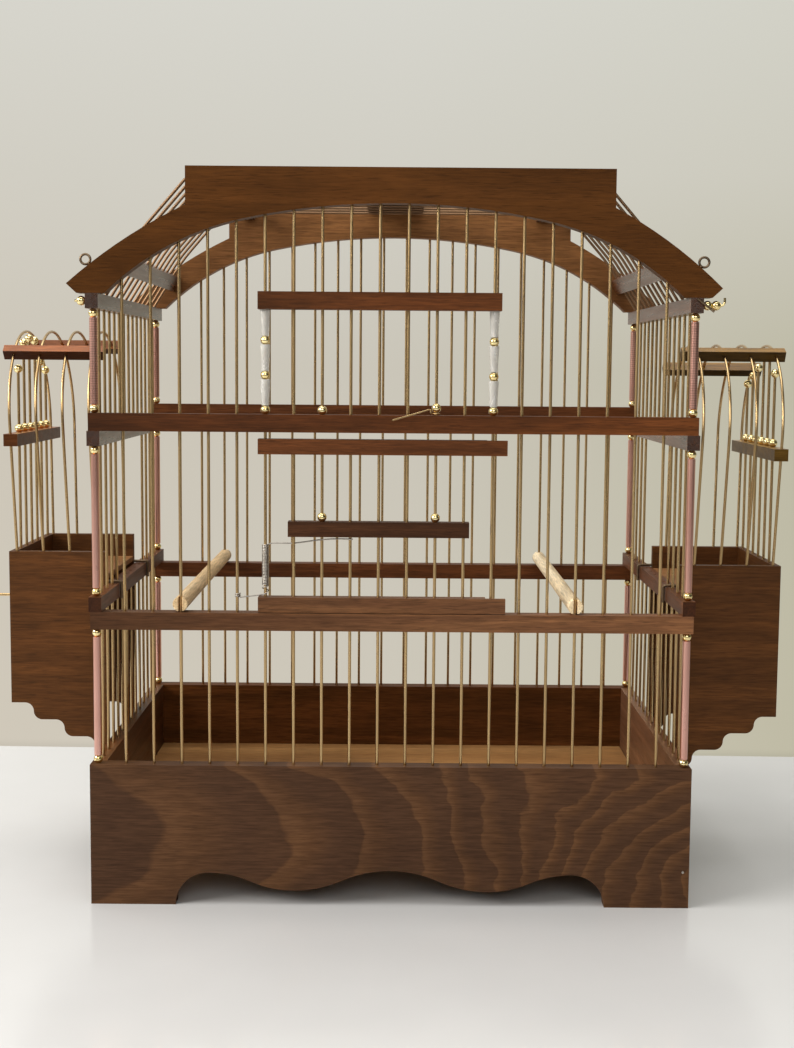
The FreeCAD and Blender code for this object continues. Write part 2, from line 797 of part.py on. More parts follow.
stack_step = (d.stiffener_at - mid_top) / SPACER_COUNT
spacers = []
rail_balls = []
for x in (hinge_x, jamb_x):
    for index in range(SPACER_COUNT):
        low = mid_top + stack_step * index
        rail_balls.append(bead(f"stack_ball_{len(rail_balls)}", x, front_y, low + d.bead_half))
        spacers.append(rod(f"spacer_{len(spacers)}", x, front_y, low + d.bead_half * 2,
                           low + stack_step, d.spacer_d))
latch_room = d.run_gap * 2 + d.latch_wire_d
for number in BEAD_WIRES:
    lift = latch_room if number == LATCH_WIRE else Size.of(0)
    rail_balls.append(bead(f"rail_ball_{number}", front_x(number), front_y, mid_top + lift + d.bead_half))
node(cut("spacers", compound("spacer_set", spacers), front_drills), "spacer_tubes")
node(cut("rail_beads", compound("rail_ball_set", rail_balls), front_drills), "spacer_beads")

# Door: three bars on seven wires, turning on the hinge wire and closing against the jamb wire
door_low = lower_top + d.run_gap
door_high = d.door_top_at + d.door_bar_height
door = WireSet("door")
for number in range(HINGE_WIRE + 1, JAMB_WIRE):
    door.add(front_x(number), front_y, door_low + flush, door_high - flush)
door_drills = compound("door_drills", door.drills)
hinge_drill = rod("hinge_drill", hinge_x, front_y, door_low - d.seat_gap, door_high + d.seat_gap,
                  d.wire_d + d.hinge_fit * 2)
rebate = block("door_rebate_cut", (jamb_x - d.door_rebate, jamb_x + d.door_free_overhang * 2),
               (front_y - d.wire_d / 2 - d.run_gap, front_y + d.door_bar_t),
               (door_low - d.run_gap, door_high + d.run_gap))
for name, low in (("top", d.door_top_at), ("bottom", door_low)):
    stick = block(f"door_{name}_stick", (hinge_x - d.door_hinge_overhang, jamb_x + d.door_free_overhang),
                  about(front_y, d.door_bar_t), (low, low + d.door_bar_height))
    node(cut(f"door_{name}", stick, [door_drills, hinge_drill, rebate]), f"door_{name}_bar")
middle = block("door_middle_stick", (front_x(HINGE_WIRE + 1) - d.door_middle_overhang,
                                     front_x(JAMB_WIRE - 1) + d.door_middle_overhang),
               about(front_y, d.door_bar_t), (d.door_middle_at, d.door_middle_at + d.door_bar_height))
node(cut("door_middle", middle, door_drills), "door_middle_bar")
door.finish("door_wires")
door_balls = [bead(f"door_ball_{number}", front_x(number), front_y,
                   d.door_middle_at + d.door_bar_height + d.bead_half) for number in BEAD_WIRES]
node(cut("door_bead_set", compound("door_balls", door_balls), door_drills), "door_beads")


# Closing spring: hooked on the wire beside the hinge, wound up the hinge wire, one arm before the door

def spring_path():
    radius = float(d.spring_r)
    axis = Vector(float(hinge_x), float(front_y), 0)
    slope = math.atan2(float(d.spring_pitch), 2 * math.pi * radius)
    start = axis + Vector(0, -radius, float(d.spring_at))
    hook = start - Vector(float(d.spacing), 0, float(d.spring_hook_drop))
    arm = (start - hook).normalize()
    behind = hook + Vector(0, radius * 2, 0)
    edges = [Part.Arc(behind, arc_middle(hook, arm * -1, behind), hook).toShape(),
             Part.LineSegment(hook, start).toShape()]
    point, tangent = start, arm
    quarters = SPRING_TURNS * 4
    for step in range(1, quarters + 1):
        angle = math.pi / 2 * (step - 1)
        reached = axis + Vector(radius * math.cos(angle), radius * math.sin(angle),
                                float(d.spring_at) + float(d.spring_pitch) * step / 4)
        level = Vector(-math.sin(angle), math.cos(angle), 0)
        heading = level * math.cos(slope) + Vector(0, 0, math.sin(slope))
        if step == quarters:
            heading = Vector(1, 0, 0)
        edges += biarc(point, tangent, reached, heading)
        point, tangent = reached, heading
    edges.append(Part.LineSegment(point, point + Vector(float(d.spring_arm), 0, 0)).toShape())
    return edges


def least_gap(edges, diameter):
    """The smallest clear gap between stretches of one wire that are not next to each other."""
    points = [point for edge in edges for point in edge.discretize(Number=6)[:-1]]
    apart = [0.0]
    for before, after in zip(points, points[1:]):
        apart.append(apart[-1] + (after - before).Length)
    reach = math.pi * float(d.spring_r)
    gaps = [(points[first] - points[second]).Length
            for first in range(len(points)) for second in range(first + 1, min(first + 90, len(points)))
            if apart[second] - apart[first] > reach]
    return min(gaps) - float(diameter)


spring_edges = spring_path()
print(f"closing spring: {SPRING_TURNS} turns, least gap to itself "
      f"{least_gap(spring_edges, d.spring_wire_d):.2f} mm")
node(solid("spring", pipe(spring_edges, d.spring_wire_d)), "closing_spring")

# Latch hook: an eye under the bead on the latch wire, and an arm that rises beside the bead and then
# falls straight over the mid rail's front edge
latch_x = float(front_x(LATCH_WIRE))
latch_z = float(mid_top + d.run_gap + d.latch_wire_d / 2)
latch_eye = doc.addObject("Part::Torus", "latch_eye")
bind(latch_eye, Radius1=d.latch_eye_r, Radius2=d.latch_wire_d / 2)
latch_eye.Placement = Placement(Vector(latch_x, float(front_y), latch_z), Rotation())
reach = Vector(-float(d.latch_reach), -float(d.latch_out), 0)
outward = reach / reach.Length
eye_middle = Vector(latch_x, float(front_y), latch_z)
arm_points = [eye_middle + outward * float(d.latch_eye_r), eye_middle + outward * float(d.latch_foot),
              eye_middle + outward * float(d.latch_knee) + Vector(0, 0, float(d.latch_rise)),
              eye_middle + reach + Vector(0, 0, -float(d.latch_drop))]
latch_arm = solid("latch_arm", pipe(bent(arm_points, d.latch_knee_bend, d.latch_knee_bend), d.latch_wire_d))
latch = doc.addObject("Part::Fuse", "latch")
latch.Base = latch_eye
latch.Tool = latch_arm
node(latch, "latch_hook")

# Perches: dowels laid on the lower rails, notched over one wire at each end
perch_half = half_y + d.perch_past_wire
perch_z = lower_top + d.run_gap + d.perch_d / 2
for name, number in PERCH_WIRES.items():
    x = front_x(number)
    dowel = rod_along(f"{name}_dowel", ALONG_Y, x, -perch_half, perch_z, perch_half * 2, d.perch_d)
    slot_x = about(x, d.wire_d + d.notch_fit * 2)
    slot_z = about(perch_z, d.perch_d * 2)
    inner = half_y - d.wire_d / 2 - d.notch_fit
    notches = [block(f"{name}_front_notch", slot_x, (-perch_half - d.perch_d, -inner), slot_z),
               block(f"{name}_back_notch", slot_x, (inner, perch_half + d.perch_d), slot_z)]
    node(cut(f"{name}_perch_dowel", dowel, notches), f"{name}_perch")


# Feeders: a box with a stepped skirt hung on the side lower rail, under a hood of wire hoops

feeder_in = base_half_x + d.feeder_gap
panel_ys = {"front": d.feeder_middle_at - d.feeder_depth / 2 + d.panel_t / 2,
            "back": d.feeder_middle_at + d.feeder_depth / 2 - d.panel_t / 2}
hood_y = float(d.feeder_middle_at + d.hood_back)
tip_drops = {"near": d.tip_near, "edge": d.tip_edge, "low": d.tip_low}


def span(side, near, far):
    """Low and high X of a stretch that runs outwards on one side of the cage."""
    return (near, far) if side > 0 else (-far, -near)


def skirt_outline(side, rim, outer):
    """Feeder panel: square above, stepped down towards the cage in ogee steps below."""
    point = Vector(float(outer), float(rim - d.end_panel_height), 0)
    edges = [line(Vector(float(outer), float(rim), 0), point)]
    tread = float(d.skirt_tread)
    radius = float(d.skirt_arc)
    for step in range(SKIRT_STEPS):
        brink = point - Vector(tread, 0, 0)
        half_down = brink - Vector(radius, radius, 0)
        landing = half_down - Vector(radius, radius, 0)
        edges += [line(point, brink), quarter(brink, half_down, brink - Vector(0, radius, 0)),
                  quarter(half_down, landing, landing + Vector(0, radius, 0))]
        point = landing
    inner = float(feeder_in)
    foot = Vector(inner, point.y, 0)
    top = Vector(inner, float(rim), 0)
    edges += [line(point, foot), line(foot, top), line(top, Vector(float(outer), float(rim), 0))]
    return edges if side > 0 else mirrored(edges)


def tangent_point(centre, foot, turn):
    """Where the leg from a foot touches the hood's arc, on the side that turn names."""
    away = foot - centre
    angle = math.atan2(away.z, away.y) + turn * math.acos(float(d.hood_radius) / away.Length)
    return centre + Vector(0, math.cos(angle), math.sin(angle)) * float(d.hood_radius)


def hoop_path(x, rim):
    """One hood wire: a leg at the front, an arc over the top and a leg at the back, all leaning outward."""
    centre = Vector(0, hood_y, float(rim + d.hood_above_rim))
    feet = [Vector(0, float(panel_ys[name]), float(rim)) for name in ("front", "back")]
    touches = [tangent_point(centre, feet[0], -1), tangent_point(centre, feet[1], 1)]
    ends = [foot + (foot - touch).normalize() * float(d.hood_seat) for foot, touch in zip(feet, touches)]
    crown = centre + Vector(0, 0, float(d.hood_radius))
    move = Vector(float(x), 0, 0)
    edges = [Part.LineSegment(ends[0] + move, touches[0] + move).toShape(),
             Part.Arc(touches[0] + move, crown + move, touches[1] + move).toShape(),
             Part.LineSegment(touches[1] + move, ends[1] + move).toShape()]
    outward = math.copysign(float(d.hood_lean), float(x))
    return [edge.rotated(Vector(float(x), 0, float(rim)), Vector(0, 1, 0), outward) for edge in edges]


def hook_path(side, y):
    level = float(side_lower_top + d.run_gap + d.wire_d / 2)
    drop_x = float(half_x - d.side_rail_width / 2 - d.run_gap - d.wire_d / 2)
    points = [Vector(side * float(feeder_in + d.hook_seat), float(y), level),
              Vector(side * drop_x, float(y), level),
              Vector(side * drop_x, float(y), level - float(d.hook_leg))]
    return bent(points, d.hook_bend)


def feeder(name, side, rim, width, front_bar_angle, back_bar_angle):
    tag = f"{name}_feeder"
    feeder_out = feeder_in + width
    hood_z = rim + d.hood_above_rim
    end_bar_at = rim + d.end_bar_above_rim
    hoops = []
    hoop_drills = []
    for index in range(HOOD_HOOPS):
        x = (feeder_out - d.hood_inset - d.hood_spacing * index) * side
        hoops.append(solid(f"{tag}_hoop_{index}", pipe(hoop_path(x, rim), d.wire_d)))
        hoop_drills.append(solid(f"{tag}_hoop_drill_{index}", pipe(hoop_path(x, rim), wire_hole)))

    end_x = (feeder_out - d.end_panel_t / 2) * side
    end_set = WireSet(f"{tag}_end")
    end_beads = []
    for index, tip in enumerate(END_TIPS[name]):
        y = panel_ys["front"] + d.end_wire_first + d.end_wire_pitch * index
        arc_height = math.sqrt(float(d.hood_radius) ** 2 - (float(y) - hood_y) ** 2)
        top = hood_z + arc_height - tip_drops[tip]
        end_set.add(end_x, y, rim - d.hood_seat, top + d.bead_half)
        end_beads.append(bead(f"{tag}_tip_ball_{index}", end_x, y, top))
        end_beads.append(bead(f"{tag}_bar_ball_{index}", end_x, y,
                              end_bar_at + d.end_bar_height + d.bead_half))

    hooks = []
    hook_drills = {}
    for place, y in panel_ys.items():
        hooks.append(solid(f"{tag}_{place}_hook", pipe(hook_path(side, y), d.wire_d)))
        hook_drills[place] = solid(f"{tag}_{place}_hook_drill", pipe(hook_path(side, y), wire_hole))

    for place, y in panel_ys.items():
        blank = board(f"{tag}_{place}_blank", "XZ_Plane", skirt_outline(side, rim, feeder_out),
                      d.panel_t, 0, y, 0)
        node(cut(f"{tag}_{place}", blank, hoop_drills + [hook_drills[place]]), f"{tag}_{place}_panel")

    inside_y = (panel_ys["front"] + d.panel_t / 2, panel_ys["back"] - d.panel_t / 2)
    end_blank = block(f"{tag}_end_blank", span(side, feeder_out - d.end_panel_t, feeder_out), inside_y,
                      (rim - d.end_panel_height, rim))
    tools = list(end_set.drills)
    if name == "left":
        peg_z = rim - d.peg_below_rim
        end_set.wires.append(rod_along(f"{tag}_peg", ALONG_X, -feeder_out - d.peg_length, d.feeder_middle_at,
                                       peg_z, d.peg_length + d.peg_seat, d.wire_d))
        tools.append(rod_along(f"{tag}_peg_drill", ALONG_X, -feeder_out - d.seat_gap, d.feeder_middle_at,
                               peg_z, d.peg_seat + d.seat_gap * 2, wire_hole))
    node(cut(f"{tag}_end", end_blank, tools), f"{tag}_end_panel")

    floor_top = rim - d.feeder_floor_drop
    node(block(f"{tag}_base", span(side, feeder_in, feeder_out - d.end_panel_t), inside_y,
               (floor_top - d.feeder_floor_t, floor_top)), f"{tag}_floor")

    bars = []
    bar_length = width - d.hood_bar_inset + d.hood_bar_past
    bar_x = side * float(feeder_in + d.hood_bar_inset + bar_length / 2)
    for place, angle in (("front", float(front_bar_angle)), ("back", -float(back_bar_angle))):
        lean = math.radians(angle)
        y = hood_y - math.sin(lean) * float(d.hood_radius)
        z = float(hood_z) + math.cos(lean) * float(d.hood_radius)
        stick = tilted_bar(f"{tag}_{place}_stick", bar_x, y, z, Rotation(Vector(1, 0, 0), angle),
                           (bar_length, d.hood_bar_width, d.hood_bar_t))
        bars.append(cut(f"{tag}_{place}_bar", stick, hoop_drills))
    end_bar_half = d.hood_radius + d.end_bar_past_leg
    end_bar_y = d.feeder_middle_at + d.hood_back
    end_stick = block(f"{tag}_end_stick", span(side, feeder_out + d.end_bar_past - d.end_bar_width,
                                               feeder_out + d.end_bar_past),
                      (end_bar_y - end_bar_half, end_bar_y + end_bar_half),
                      (end_bar_at, end_bar_at + d.end_bar_height))
    bars.append(cut(f"{tag}_end_bar", end_stick, hoop_drills[:1] + end_set.drills))
    node(compound(f"{tag}_bar_set", bars), f"{tag}_hood_bars")
    node(compound(f"{tag}_wire_set", hoops + end_set.wires), f"{tag}_wires")
    beads = cut(f"{tag}_bead_set", compound(f"{tag}_balls", end_beads), end_set.drills)
    node(beads, f"{tag}_beads")
    node(compound(f"{tag}_hook_set", hooks), f"{tag}_hooks")


feeder("left", -1, d.left_rim_at, d.left_feeder_width, d.left_front_bar_angle, d.left_back_bar_angle)
feeder("right", 1, d.right_rim_at, d.right_feeder_width, d.right_front_bar_angle, d.right_back_bar_angle)

# Check every object, then write each piece
doc.recompute()
for item in doc.Objects:
    if {"Invalid", "Error"} & set(item.State):
        raise RuntimeError(f"{item.Name} failed: {item.State}")
os.makedirs("parts", exist_ok=True)
for item in nodes:
    if item.Shape.isNull() or not item.Shape.isValid():
        raise RuntimeError(f"{item.Label} has no valid shape")
for item in nodes:
    item.Shape.exportStep(f"parts/{item.Label}.step")
print(f"{len(nodes)} pieces written")
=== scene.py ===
import json
import math
import bpy
from mathutils import Matrix, Vector


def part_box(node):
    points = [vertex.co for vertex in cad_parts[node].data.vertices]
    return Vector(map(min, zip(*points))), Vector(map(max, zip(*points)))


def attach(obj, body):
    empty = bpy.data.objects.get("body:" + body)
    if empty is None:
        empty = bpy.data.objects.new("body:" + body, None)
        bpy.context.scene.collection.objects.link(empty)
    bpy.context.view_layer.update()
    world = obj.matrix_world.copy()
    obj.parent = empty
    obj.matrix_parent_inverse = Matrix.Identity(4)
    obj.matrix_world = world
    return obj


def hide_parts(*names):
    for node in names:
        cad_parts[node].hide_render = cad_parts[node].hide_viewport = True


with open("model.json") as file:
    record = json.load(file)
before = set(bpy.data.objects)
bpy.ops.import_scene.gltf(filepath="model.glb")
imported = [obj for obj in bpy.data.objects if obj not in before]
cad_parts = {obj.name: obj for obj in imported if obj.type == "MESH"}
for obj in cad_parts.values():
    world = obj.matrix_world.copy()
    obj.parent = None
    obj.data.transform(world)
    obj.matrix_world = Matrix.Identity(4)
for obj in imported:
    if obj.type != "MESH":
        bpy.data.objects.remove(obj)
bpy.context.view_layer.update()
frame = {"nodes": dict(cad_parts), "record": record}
nodes = frame["nodes"]
record = frame["record"]
body_of_node = {node: body for body, members in record["behaviour"]["bodies"].items() for node in members}
slot_of_node = {part["node"]: part["material_slot"] for part in record["subparts"]}

MM = 0.001
EASED_EDGE = 0.5 * MM
WELD_WITHIN = 0.002 * MM
FLAT_WITHIN = math.radians(0.4)
SHARP_OVER = math.radians(50)
PHOTO_WIDTH = 794
PHOTO_FOCAL_PX = 1539.9
SENSOR_WIDTH = 36.0


# Node helpers: each takes a tree and gives back the output socket that the next one reads

def srgb(red, green, blue):
    """A colour as it is seen, on the 0 to 255 scale, made linear for a shader."""
    linear = []
    for channel in (red, green, blue):
        value = channel / 255
        linear.append(value / 12.92 if value <= 0.04045 else ((value + 0.055) / 1.055) ** 2.4)
    return (*linear, 1.0)


def new_material(name):
    material = bpy.data.materials.new(name)
    material.use_nodes = True
    tree = material.node_tree
    shader = tree.nodes["Principled BSDF"]
    return material, tree, shader


def feed(tree, socket, source):
    """Joins a socket to another socket, or sets it to a plain value."""
    if isinstance(source, bpy.types.NodeSocket):
        tree.links.new(source, socket)
    else:
        socket.default_value = source


def placed(tree, turn=(0, 0, 0), shift=(0, 0, 0), stretch=(1, 1, 1)):
    """Object coordinates, turned first and then stretched, so that X can follow a stick's grain."""
    where = tree.nodes.new("ShaderNodeTexCoord")
    turned = tree.nodes.new("ShaderNodeMapping")
    turned.inputs["Rotation"].default_value = turn
    turned.inputs["Location"].default_value = shift
    tree.links.new(where.outputs["Object"], turned.inputs["Vector"])
    scaled = tree.nodes.new("ShaderNodeMapping")
    scaled.inputs["Scale"].default_value = stretch
    tree.links.new(turned.outputs["Vector"], scaled.inputs["Vector"])
    return scaled.outputs["Vector"]


def noise(tree, where, scale, detail=3.0, rough=0.55, distortion=0.0):
    node = tree.nodes.new("ShaderNodeTexNoise")
    feed(tree, node.inputs["Vector"], where)
    node.inputs["Scale"].default_value = scale
    node.inputs["Detail"].default_value = detail
    node.inputs["Roughness"].default_value = rough
    node.inputs["Distortion"].default_value = distortion
    return node.outputs["Fac"]


def maths(tree, operation, first, second=0.0, third=0.0):
    node = tree.nodes.new("ShaderNodeMath")
    node.operation = operation
    for socket, source in zip(node.inputs, (first, second, third)):
        feed(tree, socket, source)
    return node.outputs["Value"]


def ramp(tree, fac, stops):
    """A colour ramp through (place, colour) stops."""
    node = tree.nodes.new("ShaderNodeValToRGB")
    elements = node.color_ramp.elements
    while len(elements) < len(stops):
        elements.new(0.5)
    for element, (place, colour) in zip(elements, stops):
        element.position = place
        element.color = colour if len(colour) == 4 else (*colour, 1.0)
    feed(tree, node.inputs["Fac"], fac)
    return node.outputs["Color"]


def level(tree, value, low, high, new_low, new_high):
    """Rescales a value from one range to another, held at both ends."""
    node = tree.nodes.new("ShaderNodeMapRange")
    for name, source in (("Value", value), ("From Min", low), ("From Max", high),
                         ("To Min", new_low), ("To Max", new_high)):
        feed(tree, node.inputs[name], source)
    return node.outputs["Result"]


MIX_SHARE, MIX_FIRST, MIX_SECOND, MIX_RESULT = 0, 6, 7, 2


def blend_colours(tree, fac, first, second, way="MIX"):
    node = tree.nodes.new("ShaderNodeMix")
    node.data_type = "RGBA"
    node.blend_type = way
    feed(tree, node.inputs[MIX_SHARE], fac)
    feed(tree, node.inputs[MIX_FIRST], first)
    feed(tree, node.inputs[MIX_SECOND], second)
    return node.outputs[MIX_RESULT]


def multiplied(tree, first, second):
    return blend_colours(tree, 1.0, first, second, "MULTIPLY")


def parts_of(tree, output):
    """The X, Y and Z of one of the texture coordinates."""
    coords = tree.nodes.new("ShaderNodeTexCoord")
    parts = tree.nodes.new("ShaderNodeSeparateXYZ")
    tree.links.new(coords.outputs[output], parts.inputs["Vector"])
    return parts.outputs


def bump(tree, shader, height, strength, distance):
    node = tree.nodes.new("ShaderNodeBump")
    node.inputs["Strength"].default_value = strength
    node.inputs["Distance"].default_value = distance
    tree.links.new(height, node.inputs["Height"])
    tree.links.new(node.outputs["Normal"], shader.inputs["Normal"])


# Stained timber: growth-ring figure, long streaks, fine grain lines, dark pores and a blotchy stain, with
# painted light on tops and painted shade beneath for some sticks

HALF_WIDTH = 0.2
GRAIN_TURN = {"x": (0, 0, 0), "y": (0, 0, -math.pi / 2), "z": (0, math.pi / 2, 0)}
STREAK_STRETCH = (14, 260, 260)
GRAIN_LINE_STRETCH = (55, 850, 850)
PORE_STRETCH = (95, 1500, 1500)
END_GRAIN_SHARE = (0.32, 0.30, 0.30, 1.0)
WORN_EDGE_SHARE = (1.7, 1.65, 1.6, 1.0)
# Painted light and shade: colour factors from undersides (darker) to tops (paler)
TOP_LIGHT_UNDER_SHADE_TONES = [(0.0, (0.35, 0.33, 0.32)), (0.45, (0.85, 0.85, 0.85)), (1.0, (2.1, 1.95, 1.5))]
STAIN_TONES = [(0.28, (0.82, 0.82, 0.84)), (0.52, (1.0, 1.0, 1.0)), (0.78, (1.16, 1.13, 1.08))]


def deeper(colour, share):
    """A darker tone of a colour."""
    return (*(share * channel for channel in colour[:3]), 1.0)


def blended(first, second):
    """The colour halfway between two."""
    return (*((a + b) / 2 for a, b in zip(first[:3], second[:3])), 1.0)


def facing(tree, axis):
    """How far a face looks along an axis, from -1 to 1."""
    surface = tree.nodes.new("ShaderNodeNewGeometry")
    parts = tree.nodes.new("ShaderNodeSeparateXYZ")
    tree.links.new(surface.outputs["Normal"], parts.inputs["Vector"])
    return parts.outputs[axis]


def end_grain_stained(tree, stain, axis):
    """Sawn ends drink in more stain than faces along the grain."""
    sawn = level(tree, maths(tree, "ABSOLUTE", facing(tree, axis)), 0.75, 0.95, 0.0, 1.0)
    return blend_colours(tree, sawn, stain, multiplied(tree, stain, END_GRAIN_SHARE))


def scaled_left_to_right(tree, stain, left, right):
    """A colour scaled from one strength at the cage's left end to another at its right."""
    strength = level(tree, parts_of(tree, "Object")["X"], -HALF_WIDTH, HALF_WIDTH, left, right)
    scaled = tree.nodes.new("ShaderNodeVectorMath")
    scaled.operation = "SCALE"
    tree.links.new(stain, scaled.inputs["Vector"])
    tree.links.new(strength, scaled.inputs["Scale"])
    return scaled.outputs["Vector"]


def edge_worn(tree, stain):
    """Paler stain along the eased edges, the only faces that don't look straight along an axis."""
    surface = tree.nodes.new("ShaderNodeNewGeometry")
    parts = tree.nodes.new("ShaderNodeSeparateXYZ")
    tree.links.new(surface.outputs["True Normal"], parts.inputs["Vector"])
    along = [maths(tree, "ABSOLUTE", parts.outputs[axis]) for axis in "XYZ"]
    straight = maths(tree, "MAXIMUM", along[0], maths(tree, "MAXIMUM", along[1], along[2]))
    worn = level(tree, straight, 0.94, 0.99, 1.0, 0.0)
    return blend_colours(tree, worn, stain, multiplied(tree, stain, WORN_EDGE_SHARE))


def painted_top_light_and_under_shade(tree, shader, stain, gloss):
    """Paints light onto the tops and shade onto the undersides: up-facing faces paler, down-facing faces
    darker. Tops also get more specular, undersides less.
    """
    upward = level(tree, facing(tree, "Z"), -0.5, 0.75, 0.0, 1.0)
    feed(tree, shader.inputs["Specular IOR Level"], level(tree, upward, 0.45, 0.85, 0.08, gloss))
    return multiplied(tree, stain, ramp(tree, upward, TOP_LIGHT_UNDER_SHADE_TONES))


def finished_timber(tree, shader, figure, dark, turn, shift, pores, roughness, gloss, streak, lining,
                    paint_tops_lit=False):
    """Lays streaks, grain lines, pores and stain over a figure, paints light on tops and shade on undersides
    when asked, and sets the sheen and the relief.
    """
    streaks = noise(tree, placed(tree, turn, shift, STREAK_STRETCH), 1.0, detail=4.0, rough=0.6)
    streaked = blend_colours(tree, level(tree, streaks, 0.40, 0.75, 0.0, streak), figure,
                             deeper(dark, 0.8))
    lines = noise(tree, placed(tree, turn, shift, GRAIN_LINE_STRETCH), 1.0, detail=2.0, rough=0.6)
    line_tones = [(0.32, [1 - lining] * 3), (0.50, [1.0] * 3), (0.68, [1 + lining] * 3)]
    lined = multiplied(tree, streaked, ramp(tree, lines, line_tones))
    specks = noise(tree, placed(tree, turn, shift, PORE_STRETCH), 1.0, detail=2.0, rough=0.5)
    pore = level(tree, specks, 0.57, 0.70, 0.0, pores)
    pored = blend_colours(tree, pore, lined, deeper(dark, 0.4))
    stain = noise(tree, placed(tree, turn, shift), 13.0, detail=3.0)
    stain_with_any_painted_light = multiplied(tree, pored, ramp(tree, stain, STAIN_TONES))
    shader.inputs["Specular IOR Level"].default_value = gloss
    if paint_tops_lit:
        # Painted light on the tops and painted shade on the undersides, multiplied into the stained colour
        stain_with_any_painted_light = painted_top_light_and_under_shade(tree, shader, stain_with_any_painted_light, gloss)
    feed(tree, shader.inputs["Base Color"], stain_with_any_painted_light)
    sheen = level(tree, streaks, 0.2, 0.8, roughness + 0.10, roughness - 0.08)
    feed(tree, shader.inputs["Roughness"], sheen)
    relief = maths(tree, "SUBTRACT", level(tree, lines, 0.3, 0.7, 0.0, 0.5), pore)
    bump(tree, shader, relief, 0.25, 0.25 * MM)


def stained_wood(name, grain, light, dark, rings, stretch, shift, pores=0.5, roughness=0.5, gloss=0.12,
                 streak=0.25, lining=0.25, paint_tops_lit=False, sawn_ends=False, worn=False, left_right_scale=None):
    material, tree, shader = new_material(name)
    turn = GRAIN_TURN[grain]
    field = noise(tree, placed(tree, turn, shift, stretch), 1.0, detail=1.6, rough=0.45, distortion=0.25)
    sawtooth = maths(tree, "FRACT", maths(tree, "MULTIPLY", field, rings))
    between = blended(light, dark)
    figure = ramp(tree, sawtooth, [(0.0, between), (0.08, light), (0.60, dark), (1.0, between)])
    if sawn_ends:
        figure = end_grain_stained(tree, figure, grain.upper())
    if left_right_scale:
        figure = scaled_left_to_right(tree, figure, *left_right_scale)
    if worn:
        figure = edge_worn(tree, figure)
    finished_timber(tree, shader, figure, dark, turn, shift, pores, roughness, gloss, streak, lining, paint_tops_lit)
    return material


# The front board's veneer. Each growth band starts with a sharp pale edge and darkens slowly to its right.
# At the left the bands bow like nested arrow heads. Towards the right they crowd, and fan out going up.

BOW_MIDDLE, BOW_RATE, BOW_RUN = 0.052, 20.0, (-0.06, 0.03)
FAN_FROM, FAN_LEAST, FAN_SHARE = 0.077, -0.026, 0.58
FAN_LOW, FAN_HIGH = 0.023, 0.088
FIRST_BAND_AT, BAND_SCALE, BAND_QUICKENING = -0.144, 0.868, 9.0
QUICKENS_UNTIL, LAST_RATE = 0.120, 60.0
SWAY, RIPPLE = 0.012, 0.0045


def figured_veneer(name, light, dark, line):
    material, tree, shader = new_material(name)
    shift = (0.83, 0.2, 0.47)
    where = parts_of(tree, "Object")
    along, height = where["X"], where["Z"]
    offset = maths(tree, "SUBTRACT", height, BOW_MIDDLE)
    rate = level(tree, along, *BOW_RUN, BOW_RATE, 0.0)
    bow = maths(tree, "MULTIPLY", rate, maths(tree, "MULTIPLY", offset, offset))
    past = maths(tree, "MAXIMUM", maths(tree, "SUBTRACT", along, FAN_FROM), FAN_LEAST)
    fan = maths(tree, "MULTIPLY", past, level(tree, height, FAN_LOW, FAN_HIGH, 0.0, FAN_SHARE))
    place = maths(tree, "SUBTRACT", maths(tree, "ADD", along, bow), fan)
    sway = noise(tree, placed(tree, shift=shift, stretch=(18, 1, 26)), 1.0, detail=1.0)
    place = maths(tree, "MULTIPLY_ADD", sway, 2 * SWAY, maths(tree, "SUBTRACT", place, SWAY))
    ripple = noise(tree, placed(tree, shift=shift, stretch=(60, 1, 110)), 1.0, detail=2.0, rough=0.5)
    place = maths(tree, "MULTIPLY_ADD", ripple, 2 * RIPPLE, maths(tree, "SUBTRACT", place, RIPPLE))
    quickening = maths(tree, "MULTIPLY_ADD", maths(tree, "MINIMUM", place, QUICKENS_UNTIL), BAND_QUICKENING,
                       -BAND_QUICKENING * FIRST_BAND_AT)
    growth = maths(tree, "EXPONENT", quickening)
    further = maths(tree, "MAXIMUM", maths(tree, "SUBTRACT", place, QUICKENS_UNTIL), 0.0)
    rest = maths(tree, "MULTIPLY", further, LAST_RATE)
    bands = maths(tree, "ADD", maths(tree, "MULTIPLY_ADD", growth, BAND_SCALE, 3.0 - BAND_SCALE), rest)
    figure = ramp(tree, maths(tree, "FRACT", bands),
                  [(0.0, line), (0.06, line), (0.22, light), (0.55, dark), (0.96, dark), (1.0, line)])
    finished_timber(tree, shader, figure, dark, GRAIN_TURN["x"], shift, 0.4, 0.55, 0.10, 0.2, 0.22)
    return material


BOARD_RINGS = (3.0, 40.0, 40.0)
ARCH_RINGS = (2.2, 20.0, 20.0)
PLY_RINGS = (2.0, 16.0, 16.0)
FEEDER_RINGS = (5.0, 75.0, 75.0)
STICK_RINGS = (2.5, 60.0, 60.0)
BOARD_TONES = srgb(102, 60, 28), srgb(78, 46, 20)
FEEDER_TONES = srgb(98, 60, 28), srgb(81, 49, 22)
STICK_TONES = srgb(106, 61, 31), srgb(85, 48, 23)

# Each wood: its name, the way its grain runs, light and dark tones, ring count, ring stretch and shift

